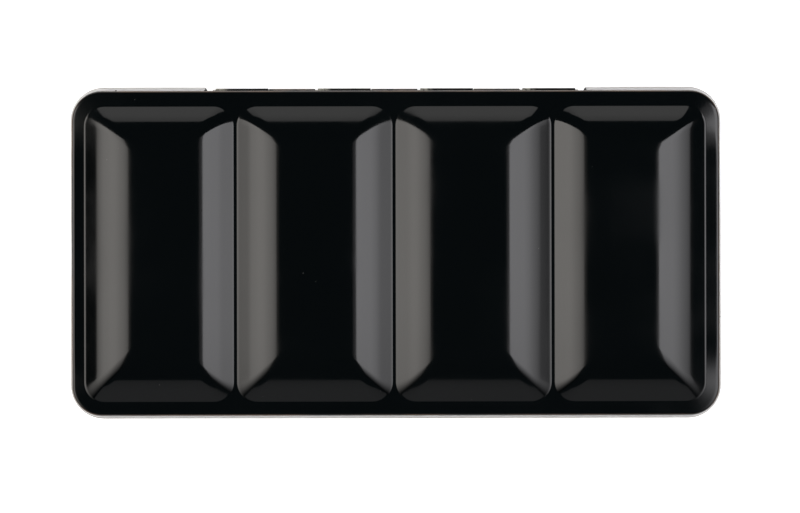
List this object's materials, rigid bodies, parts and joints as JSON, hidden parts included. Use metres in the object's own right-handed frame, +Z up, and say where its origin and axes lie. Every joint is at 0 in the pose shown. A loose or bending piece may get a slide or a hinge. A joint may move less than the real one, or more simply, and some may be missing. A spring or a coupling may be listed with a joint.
{
  "type": "gouache paint set box",
  "caption": "Flat enamelled steel paint box: hinged lid with pressed mixing wells, a formed insert holding paint tubes and a brush, and a folding thumb ring underneath.",
  "frame": {"origin": "centre of the closed box's outline at the table", "axes": "+X along the length, to the right with the hinge at the back; +Y towards the hinge; +Z up"},
  "size_m": [0.24, 0.1222, 0.0304],
  "materials": {
    "lid_enamel": "gloss black enamel outside, white inside",
    "base_enamel": "gloss black enamel outside, white inside and on the flange",
    "wire_steel": "bright wire",
    "plated_steel": "plated",
    "insert_plastic": "satin",
    "handle_wood": "gloss lacquer",
    "ferrule_nickel": "polished",
    "brush_hair": "fine hair",
    "cap_plastic": "gloss",
    "tube_white": "printed label, gloss",
    "tube_lemon": "printed label, gloss",
    "tube_golden_yellow": "printed label, gloss",
    "tube_scarlet": "printed label, gloss",
    "tube_crimson": "printed label, gloss",
    "tube_violet": "printed label, gloss",
    "tube_ultramarine": "printed label, gloss",
    "tube_sky_blue": "printed label, gloss",
    "tube_green": "printed label, gloss",
    "tube_umber": "printed label, gloss"
  },
  "bodies": {
    "base": {"base_tray": "base_enamel", "hinge_wire": "wire_steel", "ring_strap": "plated_steel", "tube_insert": "insert_plastic", "tube_01": "tube_white", "tube_02": "tube_lemon", "tube_03": "tube_golden_yellow", "tube_04": "tube_scarlet", "tube_05": "tube_crimson", "tube_06": "tube_violet", "tube_07": "tube_ultramarine", "tube_08": "tube_sky_blue", "tube_09": "tube_green", "tube_10": "tube_umber", "brush_handle": "handle_wood", "brush_ferrule": "ferrule_nickel", "brush_hair": "brush_hair"},
    "lid": {"lid": "lid_enamel"},
    "thumb_ring": {"thumb_ring": "plated_steel"},
    "cap_01": {"cap_01": "cap_plastic"},
    "cap_02": {"cap_02": "cap_plastic"},
    "cap_03": {"cap_03": "cap_plastic"},
    "cap_04": {"cap_04": "cap_plastic"},
    "cap_05": {"cap_05": "cap_plastic"},
    "cap_06": {"cap_06": "cap_plastic"},
    "cap_07": {"cap_07": "cap_plastic"},
    "cap_08": {"cap_08": "cap_plastic"},
    "cap_09": {"cap_09": "cap_plastic"},
    "cap_10": {"cap_10": "cap_plastic"}
  },
  "joints": [
    {"name": "lid_hinge", "type": "hinge", "parent": "base", "child": "lid", "pos_m": [0, 0.0594, 0.0203], "axis": [-1, 0, 0], "range_deg": [0, 180]},
    {"name": "thumb_ring_hinge", "type": "hinge", "parent": "base", "child": "thumb_ring", "pos_m": [0, -0.007, 0.00173], "axis": [-1, 0, 0], "range_deg": [0, 180]},
    {"name": "cap_01_turn", "type": "hinge", "parent": "base", "child": "cap_01", "pos_m": [-0.09963, 0.0476, 0.01276], "axis": [0, 1, 0], "range_deg": [0, 360]},
    {"name": "cap_02_turn", "type": "hinge", "parent": "base", "child": "cap_02", "pos_m": [-0.07749, -0.03375, 0.01276], "axis": [0, -1, 0], "range_deg": [0, 360]},
    {"name": "cap_03_turn", "type": "hinge", "parent": "base", "child": "cap_03", "pos_m": [-0.05535, 0.0476, 0.01276], "axis": [0, 1, 0], "range_deg": [0, 360]},
    {"name": "cap_04_turn", "type": "hinge", "parent": "base", "child": "cap_04", "pos_m": [-0.03321, -0.03375, 0.01276], "axis": [0, -1, 0], "range_deg": [0, 360]},
    {"name": "cap_05_turn", "type": "hinge", "parent": "base", "child": "cap_05", "pos_m": [-0.01107, 0.0476, 0.01276], "axis": [0, 1, 0], "range_deg": [0, 360]},
    {"name": "cap_06_turn", "type": "hinge", "parent": "base", "child": "cap_06", "pos_m": [0.01107, -0.03375, 0.01276], "axis": [0, -1, 0], "range_deg": [0, 360]},
    {"name": "cap_07_turn", "type": "hinge", "parent": "base", "child": "cap_07", "pos_m": [0.03321, 0.0476, 0.01276], "axis": [0, 1, 0], "range_deg": [0, 360]},
    {"name": "cap_08_turn", "type": "hinge", "parent": "base", "child": "cap_08", "pos_m": [0.05535, -0.03375, 0.01276], "axis": [0, -1, 0], "range_deg": [0, 360]},
    {"name": "cap_09_turn", "type": "hinge", "parent": "base", "child": "cap_09", "pos_m": [0.07749, 0.0476, 0.01276], "axis": [0, 1, 0], "range_deg": [0, 360]},
    {"name": "cap_10_turn", "type": "hinge", "parent": "base", "child": "cap_10", "pos_m": [0.09963, -0.03375, 0.01276], "axis": [0, -1, 0], "range_deg": [0, 360]}
  ]
}
